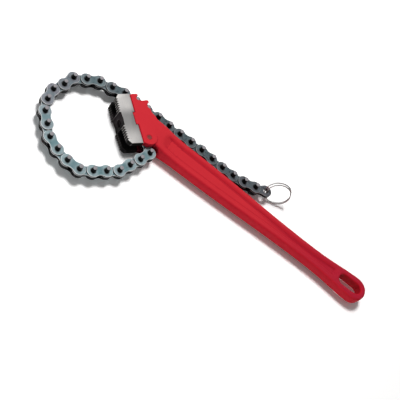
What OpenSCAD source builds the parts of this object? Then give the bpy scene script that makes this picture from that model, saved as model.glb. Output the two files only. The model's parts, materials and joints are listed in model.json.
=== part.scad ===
// Chain wrench lying on its side: forged handle, bolted-on toothed jaw, leaf chain and key ring.
// +Z is up, +X runs along the handle to its hanging end, and z = 0 is the surface that it lies on.
// The origin is on the handle's centre line at the middle of the head.

/* [Head] */
// Thickness of the head and of the jaw
head_t = 25; // [23:0.5:28]
// Angle between the jaw and the handle
jaw_angle = 44; // [42:0.5:46]
// Distance of the jaw's seat in front of the origin, along the handle
seat_x = -12.2; // [-13:0.1:-11.6]
// Distance of the jaw's seat from the handle's centre line
seat_y = -3; // [-3.8:0.1:-2.4]
// Distance of the anchor pin behind the origin, along the handle
anchor_x = 12; // [11.5:0.1:12.5]
// Distance of the anchor pin from the handle's centre line
anchor_y = -13.7; // [-14.2:0.1:-13.2]
// Diameter of the anchor pin
anchor_d = 5.8; // [5:0.1:6.5]
// Radius of the ears around the anchor pin
ear_r = 9.4; // [9:0.1:10.5]
// Place of the first hooked pin along the handle
hook_x = -24; // [-24.6:0.1:-23.4]
// Depth to which the first hooked link sinks below the handle's back edge
hook_sink = 1.15; // [0.9:0.05:1.4]
// Direction of the two hooked pins against the handle
hook_angle = 2; // [1:0.5:3]
// Height of the first horn's crest above its pin's centre
horn_rise_a = 3.3; // [2.8:0.1:3.8]
// Height of the second horn's crest above its pin's centre
horn_rise_b = 5.1; // [4.5:0.1:5.4]
// Radius of the horns' crests
horn_r = 2.1; // [1.6:0.1:2.4]
// Room on each side of the chain in the head's slots
slot_side_gap = 0.5; // [0.4:0.05:0.8]
// Room under the chain in the head's slots
slot_floor_gap = 1; // [0.8:0.1:1.4]

/* [Jaw] */
// Length of the jaw
jaw_len = 63.2; // [60:0.2:66]
// Depth of the jaw from its seat to the teeth beside the hollow
jaw_depth = 19.9; // [18.5:0.1:22]
// Fall of the line of teeth towards each end
jaw_fall = 1.1; // [0.6:0.1:1.6]
// Depth of the jaw at its chamfered ends
jaw_end_depth = 15.2; // [13:0.2:16]
// Width of the smooth hollow between the two rows of teeth
hollow_w = 14.4; // [12:0.2:16]
// Depth of the hollow
hollow_depth = 2.7; // [2:0.1:3.2]
// Number of teeth in each row
tooth_count = 7; // [5:1:9]
// Spacing of the teeth
tooth_pitch = 2.85; // [2.4:0.05:3]
// Depth of the teeth
tooth_depth = 2.2; // [1.4:0.1:2.6]
// Width of the slot between the jaw's two side plates
jaw_slot_w = 11; // [10:0.2:12]
// Width of the web that joins the side plates
web_w = 19; // [17:0.5:21]
// Width of the notch in the jaw's seat
notch_w = 16.6; // [14:0.2:18]
// Depth of the notch
notch_depth = 3.4; // [2.6:0.1:4]
// Diameter of the jaw screw's shank
screw_d = 5; // [4:0.1:6]
// Diameter of the jaw screw's head
screw_head_d = 8.6; // [7.6:0.1:9]
// Height of the jaw screw's head
screw_head_h = 4.6; // [3.6:0.1:5.4]
// Depth to which the jaw screw reaches into the head
screw_reach = 14; // [10:0.5:18]
// Bevel on the jaw's and the head's edges where they meet
seat_bevel = 1.2; // [0.8:0.1:1.5]

/* [Handle] */
// Distance of the handle's end behind the origin
handle_end_x = 331.5; // [310:0.5:350]
// Thickness of the handle
grip_t = 15.5; // [14:0.5:19]
// Width of the handle behind the head
root_w = 32; // [31:0.2:33]
// Width of the handle at its narrowest
waist_w = 21.8; // [19:0.2:26]
// Place of the narrowest part along the handle
waist_x = 238; // [225:1:250]
// Width of the handle's hanging end
end_w = 30.8; // [28:0.2:34]
// Radius of the handle's long edges
edge_r = 3.5; // [2.5:0.1:4.5]
// Depth of the channel in each side of the handle
channel_depth = 3; // [1.5:0.1:4]
// Width of the rails beside the channel
rail_w = 5; // [4:0.1:6]
// Where the channel starts
channel_start_x = 24; // [20:1:40]
// Distance from the channel's end to the hanging slot
channel_end_gap = 2; // [1:0.5:20]
// Length of the hanging slot
hang_len = 32; // [24:0.5:40]
// Width of the hanging slot
hang_w = 14; // [11:0.2:16]
// Bevel on the rim of the hanging slot
hang_bevel = 1.4; // [0.6:0.1:2]

/* [Chain] */
// Distance between neighbouring pin centres
pitch = 15.875; // [15.8:0.025:16]
// Height of a link plate at its round ends
plate_end_h = 15.1; // [14.4:0.1:15.4]
// Height of a link plate at its waist
plate_waist_h = 11; // [9.6:0.1:12]
// Thickness of a link plate
plate_t = 2.05; // [1.8:0.05:2.2]
// Gap between the two plates of an inner link
leaf_gap = 0.1; // [0.05:0.05:0.2]
// Gap between an inner plate and the outer plate beside it
side_gap = 0.15; // [0.1:0.05:0.3]
// Diameter of the chain pins
pin_d = 5.08; // [4.6:0.02:5.4]
// Length of the chain pins
pin_len = 22.2; // [20:0.1:23]
// Bevel on the ends of the chain pins
pin_bevel = 0.6; // [0.3:0.1:0.9]
// Room around a pin in the links that turn on it
run_gap = 0.06; // [0.04:0.01:0.1]
// Room around a pin in what holds it fast
fast_gap = 0.02; // [0.01:0.01:0.03]
// Room around the hooked pin in the link that closes the loop
open_gap = 0.3; // [0.2:0.05:0.4]

/* [Key ring] */
// Mean diameter of the key ring
ring_d = 32; // [29:0.5:35]
// Diameter of the key ring's wire
wire_d = 1.4; // [1.2:0.05:1.5]
// Spacing of the key ring's two turns
turn_gap = 1.75; // [1.7:0.05:1.9]
// Diameter of the hole that the key ring passes through
ring_hole_d = 6; // [5.6:0.1:6.4]
// Direction of the key ring against the handle
ring_dir = 18; // [8:1:28]
// Lean of the key ring from upright
ring_lean = 16; // [10:1:20]
// Height of the key ring over the surface
ring_lift = 0.6; // [0.3:0.1:1]

/* [Hidden] */
$fn = 64;
eps = 0.01;
mid_z = head_t / 2;

// Chain layout: even links are inner links, odd links are outer links with their two pins
link_count = 33;
loop_count = 21;
chain_w = leaf_gap + 4 * plate_t + 2 * side_gap;
slot_w = chain_w + 2 * slot_side_gap;
plate_r = plate_end_h / 2;
anchor = [anchor_x, anchor_y];
hook = [hook_x, root_w / 2 + plate_r - hook_sink];
second = hook + pitch * unit(hook_angle);

// Turning rate of each link of the loop as it flexes, neighbours always different
rate = [1, -1, 1, -1, 0, -1, 0, -1, 0, 1, -1, 0, 1, 0, -1, 0, -1, 0, -1, 1, -1];
// Direction of each link of the loop, apart from the two in each rate's group that close it
loop_dir = [-45.5, -107.5, -112, -112, -135, -138.5, -145.5, 180, undef, 154.5, undef,
            131, undef, 97.5, 69, 78, 38.5, undef, 14, undef, undef];
// The closing links of each group, the one that turns further left first
closers = [[1, 12, 19], [-1, 10, 20], [0, 8, 17]];
// Direction of each link of the tail
tail_dir = [hook_angle, 4, -1, 1, 2, 2, -4, -2, 1, 11, 15, 27];

function unit(a) = [cos(a), sin(a)];
function total(list, i = 0) = i < len(list) - 1 ? list[i] + total(list, i + 1) : list[i];
// Links of one rate sum to nothing, so they can turn together, and those at rest reach the hook
function group_target(g) = g == 0 ? (hook - anchor) / pitch : [0, 0];
function group_sum(g) = total([for (k = [0:loop_count - 1]) if (rate[k] == g && loop_dir[k] != undef) unit(loop_dir[k])]);
function closing_dir(g, side) =
    let (v = group_target(g) - group_sum(g))
    atan2(v[1], v[0]) + side * acos(norm(v) / 2);
function closer_dir(k) =
    let (found = [for (c = closers) if (c[1] == k || c[2] == k) closing_dir(c[0], c[1] == k ? 1 : -1)])
    found[0];
link_dir = concat(
    [for (k = [0:loop_count - 1]) loop_dir[k] == undef ? closer_dir(k) : loop_dir[k]],
    tail_dir);
function link_pos(k) =
    k == 0 ? anchor :
    k == loop_count ? hook :
    link_pos(k - 1) + pitch * unit(link_dir[k - 1]);
ring_hole = link_pos(link_count - 1) + pitch * unit(link_dir[link_count - 1]);

// Link plate outline: round ends joined by hollow arcs that are tangent to them
waist_arc_r = (pow(pitch / 2, 2) + pow(plate_waist_h / 2, 2) - pow(plate_r, 2)) / (plate_end_h - plate_waist_h);
waist_arc_y = plate_waist_h / 2 + waist_arc_r;
tangent_share = plate_r / (plate_r + waist_arc_r);
tangent_x = pitch / 2 * (1 - tangent_share);
tangent_y = waist_arc_y * tangent_share;

function two_digits(k) = k < 10 ? str("0", k) : str(k);
function inner_name(k) = str("inner_plates_", two_digits(k));
function outer_name(k) = str("outer_plates_", two_digits(k));
function pins_name(k) = str("pins_", two_digits(k));

// Jaw places: s runs along the seat, back runs from the seat into the head
seat = [seat_x, seat_y];
function seat_point(s, back) = seat + s * unit(-jaw_angle) + back * unit(90 - jaw_angle);
seat_gap = 0.05;
tongue_gap = 0.5;
row_outer = hollow_w / 2 + tooth_count * tooth_pitch;
hollow_r = (pow(hollow_w / 2, 2) + pow(hollow_depth, 2)) / (2 * hollow_depth);
web_floor = jaw_depth - hollow_depth;
counterbore_d = screw_head_d + 1;
counterbore_floor = (web_floor + notch_depth) / 2;

// Horn places: the first horn's nose leans over its pin, and the second pin can lift out past its horn
pin_seat_r = pin_d / 2 + 0.35;
horn_flank_a = pin_seat_r - 1;
horn_flank_b = pin_seat_r + 0.5;
horn_root = 6;
horn_slope = 50;
valley = 1.2;

// Handle sections
end_r = end_w / 2;
end_centre_x = handle_end_x - end_r;
hang_r = hang_w / 2;
hang_x1 = end_centre_x + (end_r - rail_w - 2) - hang_r;
hang_x0 = hang_x1 - (hang_len - hang_w);
channel_end_x = hang_x0 - hang_r - channel_end_gap;
loft_start_x = -4;
ramp_start_x = 13;
ramp_end_x = 50;
shoulder_x = 50;
edge_steps = 3;
wall_run = 4.5;
channel_run_in = 14;

function smooth(t) = let (u = min(1, max(0, t))) u * u * (3 - 2 * u);
function grip_half_w(x) =
    x < waist_x ? root_w / 2 - (root_w - waist_w) / 2 * pow(smooth((x - shoulder_x) / (waist_x - shoulder_x)), 1.2) :
    x < end_centre_x ? waist_w / 2 + (end_w - waist_w) / 2 * pow(smooth((x - waist_x) / (end_centre_x - waist_x)), 1.8) :
    sqrt(max(0.04, end_r * end_r - pow(x - end_centre_x, 2)));
// The back edge rises towards the horns and the front edge draws in behind the jaw's seat
function edge_high(x) = grip_half_w(x) + 1.2 * pow(max(0, 10 - x) / 10, 2);
function edge_low(x) = -grip_half_w(x) + 10 * pow(max(0, 8 - x) / 12, 2);
function end_drop(x) =
    let (over = x - (handle_end_x - edge_r))
    over > 0 ? edge_r - sqrt(max(0, edge_r * edge_r - over * over)) : 0;
function half_t(x) =
    (grip_t + (head_t - 0.2 - grip_t) * (1 - smooth((x - ramp_start_x) / (ramp_end_x - ramp_start_x)))) / 2 - end_drop(x);
function channel_half_w(x) = grip_half_w(x) - rail_w;
// How far a point lies inside the channel's round-ended outline
function channel_inset(x, y) =
    let (hw = channel_half_w(x),
         over = max(0, channel_start_x + hw - x, x - (channel_end_x - hw)))
    hw - norm([over, y]);
function channel_cut(x, y) =
    channel_depth * smooth(channel_inset(x, y) / wall_run) * smooth((x - channel_start_x) / channel_run_in);
function section_radius(x) = min(edge_r, 0.35 * (edge_high(x) - edge_low(x)), 0.9 * half_t(x));
// Upper half of a section, from the front edge to the back edge
across = [-0.9, -0.78, -0.66, -0.54, -0.42, -0.24, 0, 0.24, 0.42, 0.54, 0.66, 0.78, 0.9];
function section_top(x) =
    let (lo = edge_low(x), hi = edge_high(x), h = half_t(x), r = section_radius(x),
         flat = (hi - lo) / 2 - r, c = (lo + hi) / 2)
    concat(
        [for (i = [0:edge_steps]) let (a = 90 * i / edge_steps) [x, lo + r - r * cos(a), h - r + r * sin(a)]],
        [for (u = across) [x, c + u * flat, h - channel_cut(x, c + u * flat)]],
        [for (i = [edge_steps:-1:0]) let (a = 90 * i / edge_steps) [x, hi - r + r * cos(a), h - r + r * sin(a)]]);
function section(x) =
    let (top = section_top(x))
    concat(
        [for (p = top) [p[0], p[1], mid_z + p[2]]],
        [for (i = [len(top) - 1:-1:0]) [top[i][0], top[i][1], mid_z - top[i][2]]]);
function spaced(a, b, n) = [for (i = [0:n - 1]) a + (b - a) * i / n];
loft_x = concat(
    spaced(loft_start_x, channel_start_x, 8),
    spaced(channel_start_x, channel_start_x + 12, 6),
    spaced(channel_start_x + 12, channel_end_x - 8, 16),
    spaced(channel_end_x - 8, end_centre_x, 6),
    [for (a = [0:11.25:78.75]) end_centre_x + end_r * sin(a)],
    [handle_end_x - 0.12]);

// Key ring places
ring_r = ring_d / 2;
ring_z = ring_r * cos(ring_lean) + wire_d / 2 + ring_lift;
ring_u = [cos(ring_dir), sin(ring_dir), 0];
ring_w = [-sin(ring_dir) * sin(ring_lean), cos(ring_dir) * sin(ring_lean), cos(ring_lean)];
ring_axis = cross(ring_u, ring_w);
hole_turn = 180 + asin((ring_z - mid_z) / (ring_r * cos(ring_lean)));
ring_centre = [ring_hole[0], ring_hole[1], mid_z] - ring_r * (cos(hole_turn) * ring_u + sin(hole_turn) * ring_w);
ring_steps = 24;
ring_sides = 8;
function ring_out(a) = cos(a) * ring_u + sin(a) * ring_w;
// The wire runs two turns from its end opposite the hole, stepping sideways steadily
function wire_angle(i) = hole_turn - 180 + 360 * i / ring_steps;
function wire_point(i) =
    ring_centre + ring_r * ring_out(wire_angle(i)) + turn_gap * (i / ring_steps - 1) * ring_axis;
wire_points = [for (i = [0:2 * ring_steps]) wire_point(i)];
wire_self_gap = min([for (i = [0:2 * ring_steps]) for (j = [i + ring_steps / 2:1:2 * ring_steps])
    norm(wire_points[i] - wire_points[j])]) - wire_d;
echo(str("Least gap of the key ring's wire to itself: ", wire_self_gap, " mm"));

// A closed skin over rings of points, each ring with the same number of points, its ends closed by fans
function middle(ring) = total(ring) / len(ring);
module skin(rings) {
    n = len(rings[0]);
    last = len(rings) - 1;
    start_centre = n * len(rings);
    end_centre = start_centre + 1;
    polyhedron(
        points = concat([for (r = rings) for (p = r) p], [middle(rings[0]), middle(rings[last])]),
        faces = [for (i = [0:n - 1]) let (j = (i + 1) % n) each concat(
            [[start_centre, j, i], [end_centre, last * n + i, last * n + j]],
            [for (k = [0:last - 1]) each
                [[k * n + i, (k + 1) * n + j, (k + 1) * n + i], [k * n + i, k * n + j, (k + 1) * n + j]]])],
        convexity = 6);
}

// Figure-eight link plate from one pin centre to the next, with a hole at each
module plate(first_hole_d, second_hole_d) {
    linear_extrude(plate_t)
    difference() {
        translate([pitch / 2, 0])
        difference() {
            union() {
                for (side = [-1, 1]) translate([side * pitch / 2, 0]) circle(r = plate_r);
                square([2 * tangent_x, 2 * tangent_y], center = true);
            }
            for (side = [-1, 1]) translate([0, side * waist_arc_y]) circle(r = waist_arc_r);
        }
        circle(d = first_hole_d);
        translate([pitch, 0]) circle(d = second_hole_d);
    }
}

// Puts a link's children at its first pin, along the link, at the chain's middle height
module at_link(k) {
    translate([link_pos(k)[0], link_pos(k)[1], mid_z]) rotate(link_dir[k]) children();
}

module inner_plates(k) {
    first_d = k == 0 ? anchor_d + 2 * run_gap : pin_d + 2 * run_gap;
    second_d =
        k == link_count - 1 ? ring_hole_d :
        k == loop_count - 1 ? pin_d + 2 * open_gap :
        pin_d + 2 * run_gap;
    color("slategray")
    at_link(k)
    for (z = [-leaf_gap / 2 - plate_t, leaf_gap / 2])
        translate([0, 0, z]) plate(first_d, second_d);
}

module outer_plates(k) {
    hole_d = pin_d + 2 * fast_gap;
    color("lightslategray")
    at_link(k)
    for (z = [-chain_w / 2, chain_w / 2 - plate_t])
        translate([0, 0, z]) plate(hole_d, hole_d);
}

// Round pin with bevelled ends, centred on its length
module bevelled_pin(d, l, bevel) {
    rotate_extrude()
    polygon([[0, -l / 2], [d / 2 - bevel, -l / 2], [d / 2, -l / 2 + bevel],
             [d / 2, l / 2 - bevel], [d / 2 - bevel, l / 2], [0, l / 2]]);
}

module pins(k) {
    color("dimgray")
    at_link(k)
    for (x = [0, pitch]) translate([x, 0, 0]) bevelled_pin(pin_d, pin_len, pin_bevel);
}

module anchor_pin() {
    color("darkred")
    translate([anchor[0], anchor[1], mid_z]) bevelled_pin(anchor_d, head_t - 0.4, 0.4);
}

// Depth of the line of teeth at a place along the jaw
function crest_depth(s) = jaw_depth - jaw_fall * (s - hollow_w / 2) / (row_outer - hollow_w / 2);
// One row of teeth from its outer end to the hollow, each a flat crest and then a notch
function tooth_row(side) = [for (i = [0:tooth_count - 1])
    let (s = row_outer - i * tooth_pitch)
    each [for (share = [0, 0.4, 0.7])
        let (at = s - share * tooth_pitch)
        [side * at, -crest_depth(at) + (share == 0.7 ? tooth_depth : 0)]]];
function reversed(list) = [for (i = [len(list) - 1:-1:0]) list[i]];

module jaw_outline() {
    difference() {
        polygon(concat(
            [[-jaw_len / 2, 0], [-jaw_len / 2, -jaw_end_depth]],
            tooth_row(-1),
            reversed(tooth_row(1)),
            [[jaw_len / 2, -jaw_end_depth], [jaw_len / 2, 0]]));
        translate([0, -jaw_depth + hollow_depth - hollow_r]) circle(r = hollow_r);
        translate([-notch_w / 2, -notch_depth]) square([notch_w, notch_depth + 1]);
    }
}

module at_seat() {
    translate([seat[0], seat[1], 0]) rotate(-jaw_angle) children();
}

// Puts its children on the jaw screw's axis, +Z pointing out of the jaw's front
module at_screw() {
    at_seat() translate([0, 0, mid_z]) rotate([90, 0, 0]) children();
}

// Bevels along the seat on both sides of the notch, cut from the jaw and from the head
module seat_bevels() {
    start = notch_w / 2 - tongue_gap - 0.3;
    at_seat() for (top = [0, 1], side = [0, 1])
        translate([0, seat_gap / 2, top * head_t]) mirror([side, 0, 0]) mirror([0, 0, 1 - top])
        translate([start, 0, 0]) rotate([90, 0, 90])
        linear_extrude(jaw_len) polygon([[0, -seat_bevel], [2 * seat_bevel, seat_bevel], [-2 * seat_bevel, seat_bevel]]);
}

module jaw() {
    color("silver")
    difference() {
        at_seat() linear_extrude(head_t) jaw_outline();
        at_seat() for (side = [-1, 1])
            translate([side > 0 ? web_w / 2 : -jaw_len, -2 * jaw_depth, mid_z - jaw_slot_w / 2])
            cube([jaw_len - (side > 0 ? 0 : web_w / 2), 3 * jaw_depth, jaw_slot_w]);
        seat_bevels();
        at_screw() cylinder(d = screw_d + 0.4, h = jaw_depth);
        at_screw() translate([0, 0, counterbore_floor]) cylinder(d = counterbore_d, h = jaw_depth);
    }
}

module jaw_screw() {
    socket_d = screw_head_d * 0.5;
    color("black")
    at_screw()
    difference() {
        union() {
            translate([0, 0, -screw_reach]) cylinder(d = screw_d, h = screw_reach + counterbore_floor + 1);
            translate([0, 0, counterbore_floor + seat_gap]) cylinder(d = screw_head_d, h = screw_head_h);
        }
        translate([0, 0, counterbore_floor + screw_head_h / 2]) cylinder(d = socket_d, h = screw_head_h, $fn = 6);
    }
}

// Wave-shaped horn in front of a hooked pin whose centre is the origin, with a round crest
module horn(rise, flank) {
    crest = [-flank - horn_r, rise - horn_r];
    slope_start = 90 + horn_slope;
    polygon(concat(
        [[-flank, -horn_root]],
        [for (i = [0:7]) crest + horn_r * unit(i * slope_start / 7)],
        [crest + horn_r * unit(slope_start) - (rise + horn_root) * [1 / tan(horn_slope), 1]]));
}

module head_body() {
    half_len = jaw_len / 2;
    polygon([
        seat_point(-half_len, -1),
        seat_point(-half_len, 2),
        hook + [-horn_root, -valley],
        second + [0, -valley],
        second + [3.4, -3.2],
        second + [5.8, -5.3],
        [4, edge_high(4) - 0.15],
        [12, edge_high(12) - edge_r - 0.5],
        [ramp_start_x, 2],
        anchor + 0.8 * ear_r * unit(70),
        anchor,
        seat_point(half_len, 2),
        seat_point(half_len, -1)]);
    translate(anchor) circle(r = ear_r);
    translate(hook) horn(horn_rise_a, horn_flank_a);
    translate(second) horn(horn_rise_b, horn_flank_b);
}

// The head ends at the jaw's seat, apart from the tongue that fits the jaw's notch
module head_outline() {
    difference() {
        head_body();
        translate(hook) circle(r = pin_seat_r);
        translate(second) circle(r = pin_seat_r);
        at_seat() translate([-jaw_len, seat_gap - jaw_len]) square([2 * jaw_len, jaw_len]);
    }
    at_seat() translate([-notch_w / 2 + tongue_gap, -notch_depth + tongue_gap])
        square([notch_w - 2 * tongue_gap, 2 * notch_depth]);
}

// Space for the hooked part of the chain between the horns
module hook_slot() {
    floor_y = hook[1] - plate_r - slot_floor_gap;
    translate([0, 0, mid_z - slot_w / 2])
    linear_extrude(slot_w)
    polygon([[hook[0] - 40, floor_y - 6], [hook[0] - 11, floor_y - 2.6], [hook[0] + 10, floor_y],
             [second[0] + 4, floor_y], [second[0] + 14, root_w / 2 - 0.5], [second[0] + 24, root_w / 2 + 9],
             [second[0] + 24, floor_y + 24], [hook[0] - 40, floor_y + 24]]);
}

// Space for the first links between the ears, with room to swing, open towards the jaw
module anchor_slot() {
    room = plate_r + slot_floor_gap;
    swing = 10;
    reach = 3 * pitch;
    translate([anchor[0], anchor[1], mid_z - slot_w / 2])
    rotate(link_dir[0])
    linear_extrude(slot_w)
    polygon(concat(
        [room * unit(90 + swing) + reach * unit(swing)],
        [for (a = [90 + swing:10:180 + swing]) room * unit(a)],
        [room * unit(180 + swing) - [0, 2 * room], [reach, -4 * room]]));
}

// Round-ended hole through the handle with bevelled rims on both sides
module hang_slot() {
    half = grip_t / 2;
    translate([0, 0, mid_z]) for (side = [0, 1]) mirror([0, 0, side]) {
        for (x = [hang_x0, hang_x1]) translate([x, 0, 0]) {
            translate([0, 0, -eps]) cylinder(r = hang_r, h = half + 1);
            translate([0, 0, half - hang_bevel]) cylinder(r1 = hang_r, r2 = hang_r + 2 * hang_bevel, h = 2 * hang_bevel);
        }
        translate([hang_x0, 0, 0]) rotate([90, 0, 90])
            linear_extrude(hang_x1 - hang_x0)
            polygon([[-hang_r, -eps], [hang_r, -eps], [hang_r, half - hang_bevel],
                     [hang_r + 2 * hang_bevel, half + hang_bevel], [-hang_r - 2 * hang_bevel, half + hang_bevel],
                     [-hang_r, half - hang_bevel]]);
    }
}

module handle() {
    color("firebrick")
    difference() {
        union() {
            skin([for (x = loft_x) section(x)]);
            linear_extrude(head_t) head_outline();
        }
        seat_bevels();
        hook_slot();
        anchor_slot();
        hang_slot();
        translate([anchor[0], anchor[1], -1]) cylinder(d = anchor_d + 2 * fast_gap, h = head_t + 2);
        at_screw() translate([0, 0, -screw_reach - 1]) cylinder(d = screw_d + 2 * fast_gap, h = screw_reach + jaw_depth);
    }
}

module key_ring() {
    color("gainsboro")
    skin([for (i = [0:2 * ring_steps])
        let (out = ring_out(wire_angle(i)))
        [for (j = [0:ring_sides - 1]) let (a = 360 * j / ring_sides)
            wire_points[i] + wire_d / 2 * (cos(a) * out + sin(a) * ring_axis)]]);
}

handle();
jaw();
jaw_screw();
anchor_pin();
key_ring();
for (k = [0:2:link_count - 1]) inner_plates(k);
for (k = [1:2:link_count - 1]) outer_plates(k);
for (k = [1:2:link_count - 1]) pins(k);
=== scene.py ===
"""Looks of a chain wrench on its side: painted forging, ground jaw, leaf chain and key ring."""

import json
import logging
from contextlib import contextmanager
from dataclasses import dataclass, field
from enum import Enum
from math import asin, atan2, cos, pi, radians, sin
from typing import Any, Callable, Iterator, Optional, Sequence, Union

import bmesh
import bpy
import numpy as np
from bpy.types import Material, Mesh, Object
from mathutils import Matrix, Vector


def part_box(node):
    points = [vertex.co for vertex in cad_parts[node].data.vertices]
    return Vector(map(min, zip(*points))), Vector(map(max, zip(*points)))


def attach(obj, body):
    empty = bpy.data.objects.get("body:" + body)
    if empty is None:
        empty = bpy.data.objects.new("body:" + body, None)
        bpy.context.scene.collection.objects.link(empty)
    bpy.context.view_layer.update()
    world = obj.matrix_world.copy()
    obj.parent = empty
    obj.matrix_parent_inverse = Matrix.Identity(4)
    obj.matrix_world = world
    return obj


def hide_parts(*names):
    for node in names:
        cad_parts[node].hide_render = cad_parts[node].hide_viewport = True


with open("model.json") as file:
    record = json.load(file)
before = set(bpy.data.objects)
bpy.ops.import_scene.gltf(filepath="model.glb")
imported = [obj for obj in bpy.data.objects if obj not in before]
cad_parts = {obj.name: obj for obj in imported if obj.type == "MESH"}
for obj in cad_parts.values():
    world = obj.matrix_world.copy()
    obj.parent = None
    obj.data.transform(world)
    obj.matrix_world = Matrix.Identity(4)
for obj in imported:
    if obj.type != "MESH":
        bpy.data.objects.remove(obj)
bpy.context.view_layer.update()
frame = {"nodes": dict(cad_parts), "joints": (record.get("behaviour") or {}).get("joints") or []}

log = logging.getLogger("chain_wrench")
MM = 0.001
TINY = 1e-12
# Points nearer than this are one
MERGE = 0.002 * MM
# A hollow counts from this share of an edge's bend
HOLLOW_SHARE = 0.12
# Direction of the jaw's length from X
JAW_LAY = radians(-44)
WHITE = (1.0, 1.0, 1.0, 1.0)

Colour = tuple[float, float, float]
Point = tuple[float, float, float]
Span = tuple[float, float]
Profile = Sequence[tuple[float, float]]


class Body(Enum):
    """Bodies that carry more than a link."""

    TOOL = "body"
    RING = "ring"


class Slot(Enum):
    """Material slots of the part."""

    PAINT = "red_paint"
    GROUND = "ground_steel"
    BLACK = "black_steel"
    RIVET = "rivet_steel"
    WIRE = "wire"
    CHAIN = "chain_steel"
    PIN = "pin_steel"


def operation(name: str, swapped: bool = False) -> Callable[..., "Socket"]:
    """Makes an arithmetic method of sockets.

    Args:
        name: Name of the Math node's operation.
        swapped: Whether the socket stands on the right.

    Returns:
        The method.
    """

    def method(self: "Socket", other: Any = 0.0) -> "Socket":
        """Adds one Math node and gives its result."""
        sides = (other, self) if swapped else (self, other)
        return self.graph.node("ShaderNodeMath", {"operation": name}, dict(enumerate(sides)))

    return method


@dataclass(frozen=True)
class Socket:
    """A node's output that takes part in arithmetic."""

    graph: "Graph"
    socket: Optional[bpy.types.NodeSocket]

    __add__ = operation("ADD")
    __radd__ = operation("ADD", True)
    __sub__ = operation("SUBTRACT")
    __rsub__ = operation("SUBTRACT", True)
    __mul__ = operation("MULTIPLY")
    __rmul__ = operation("MULTIPLY", True)
    __pow__ = operation("POWER")
    __abs__ = operation("ABSOLUTE")


class Graph:
    """A node tree that is filled by one method."""

    def __init__(self, tree: bpy.types.NodeTree) -> None:
        """Takes over a tree and empties it."""
        self.tree = tree
        tree.nodes.clear()

    def node(
        self,
        kind: str,
        settings: Optional[dict[str, Any]] = None,
        inputs: Optional[dict[Union[int, str], Any]] = None,
        output: Union[int, str] = 0,
    ) -> Socket:
        """Adds a node of any type.

        Args:
            kind: Blender's name of the node type.
            settings: Properties that are set first.
            inputs: Values or sockets by the input's name or number.
            output: Name or number of the output that is returned.

        Returns:
            The chosen output, empty on a node that has none.
        """
        made = self.tree.nodes.new(kind)
        for key, value in (settings or {}).items():
            setattr(made, key, value)
        for key, value in (inputs or {}).items():
            if isinstance(value, Socket):
                self.tree.links.new(value.socket, made.inputs[key])
            else:
                made.inputs[key].default_value = value
        return Socket(self, made.outputs[output] if len(made.outputs) else None)

    def ramp(self, value: Socket, span: Span, ends: Span = (0.0, 1.0)) -> Socket:
        """Smooth step over a span of the value, from the first of two ends to the second."""
        inputs = dict(enumerate((value, *span, *ends)))
        return self.node("ShaderNodeMapRange", {"interpolation_type": "SMOOTHSTEP"}, inputs)


@dataclass(frozen=True)
class Cloud:
    """A cloudy pattern, with sizes in metres and the levels between which its patches rise."""

    size: float
    span: Span = (0.0, 1.0)
    detail: float = 3.0
    seed: float = 0.0
    turn: float = 0.0
    stretch: Point = (1, 1, 1)


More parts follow.
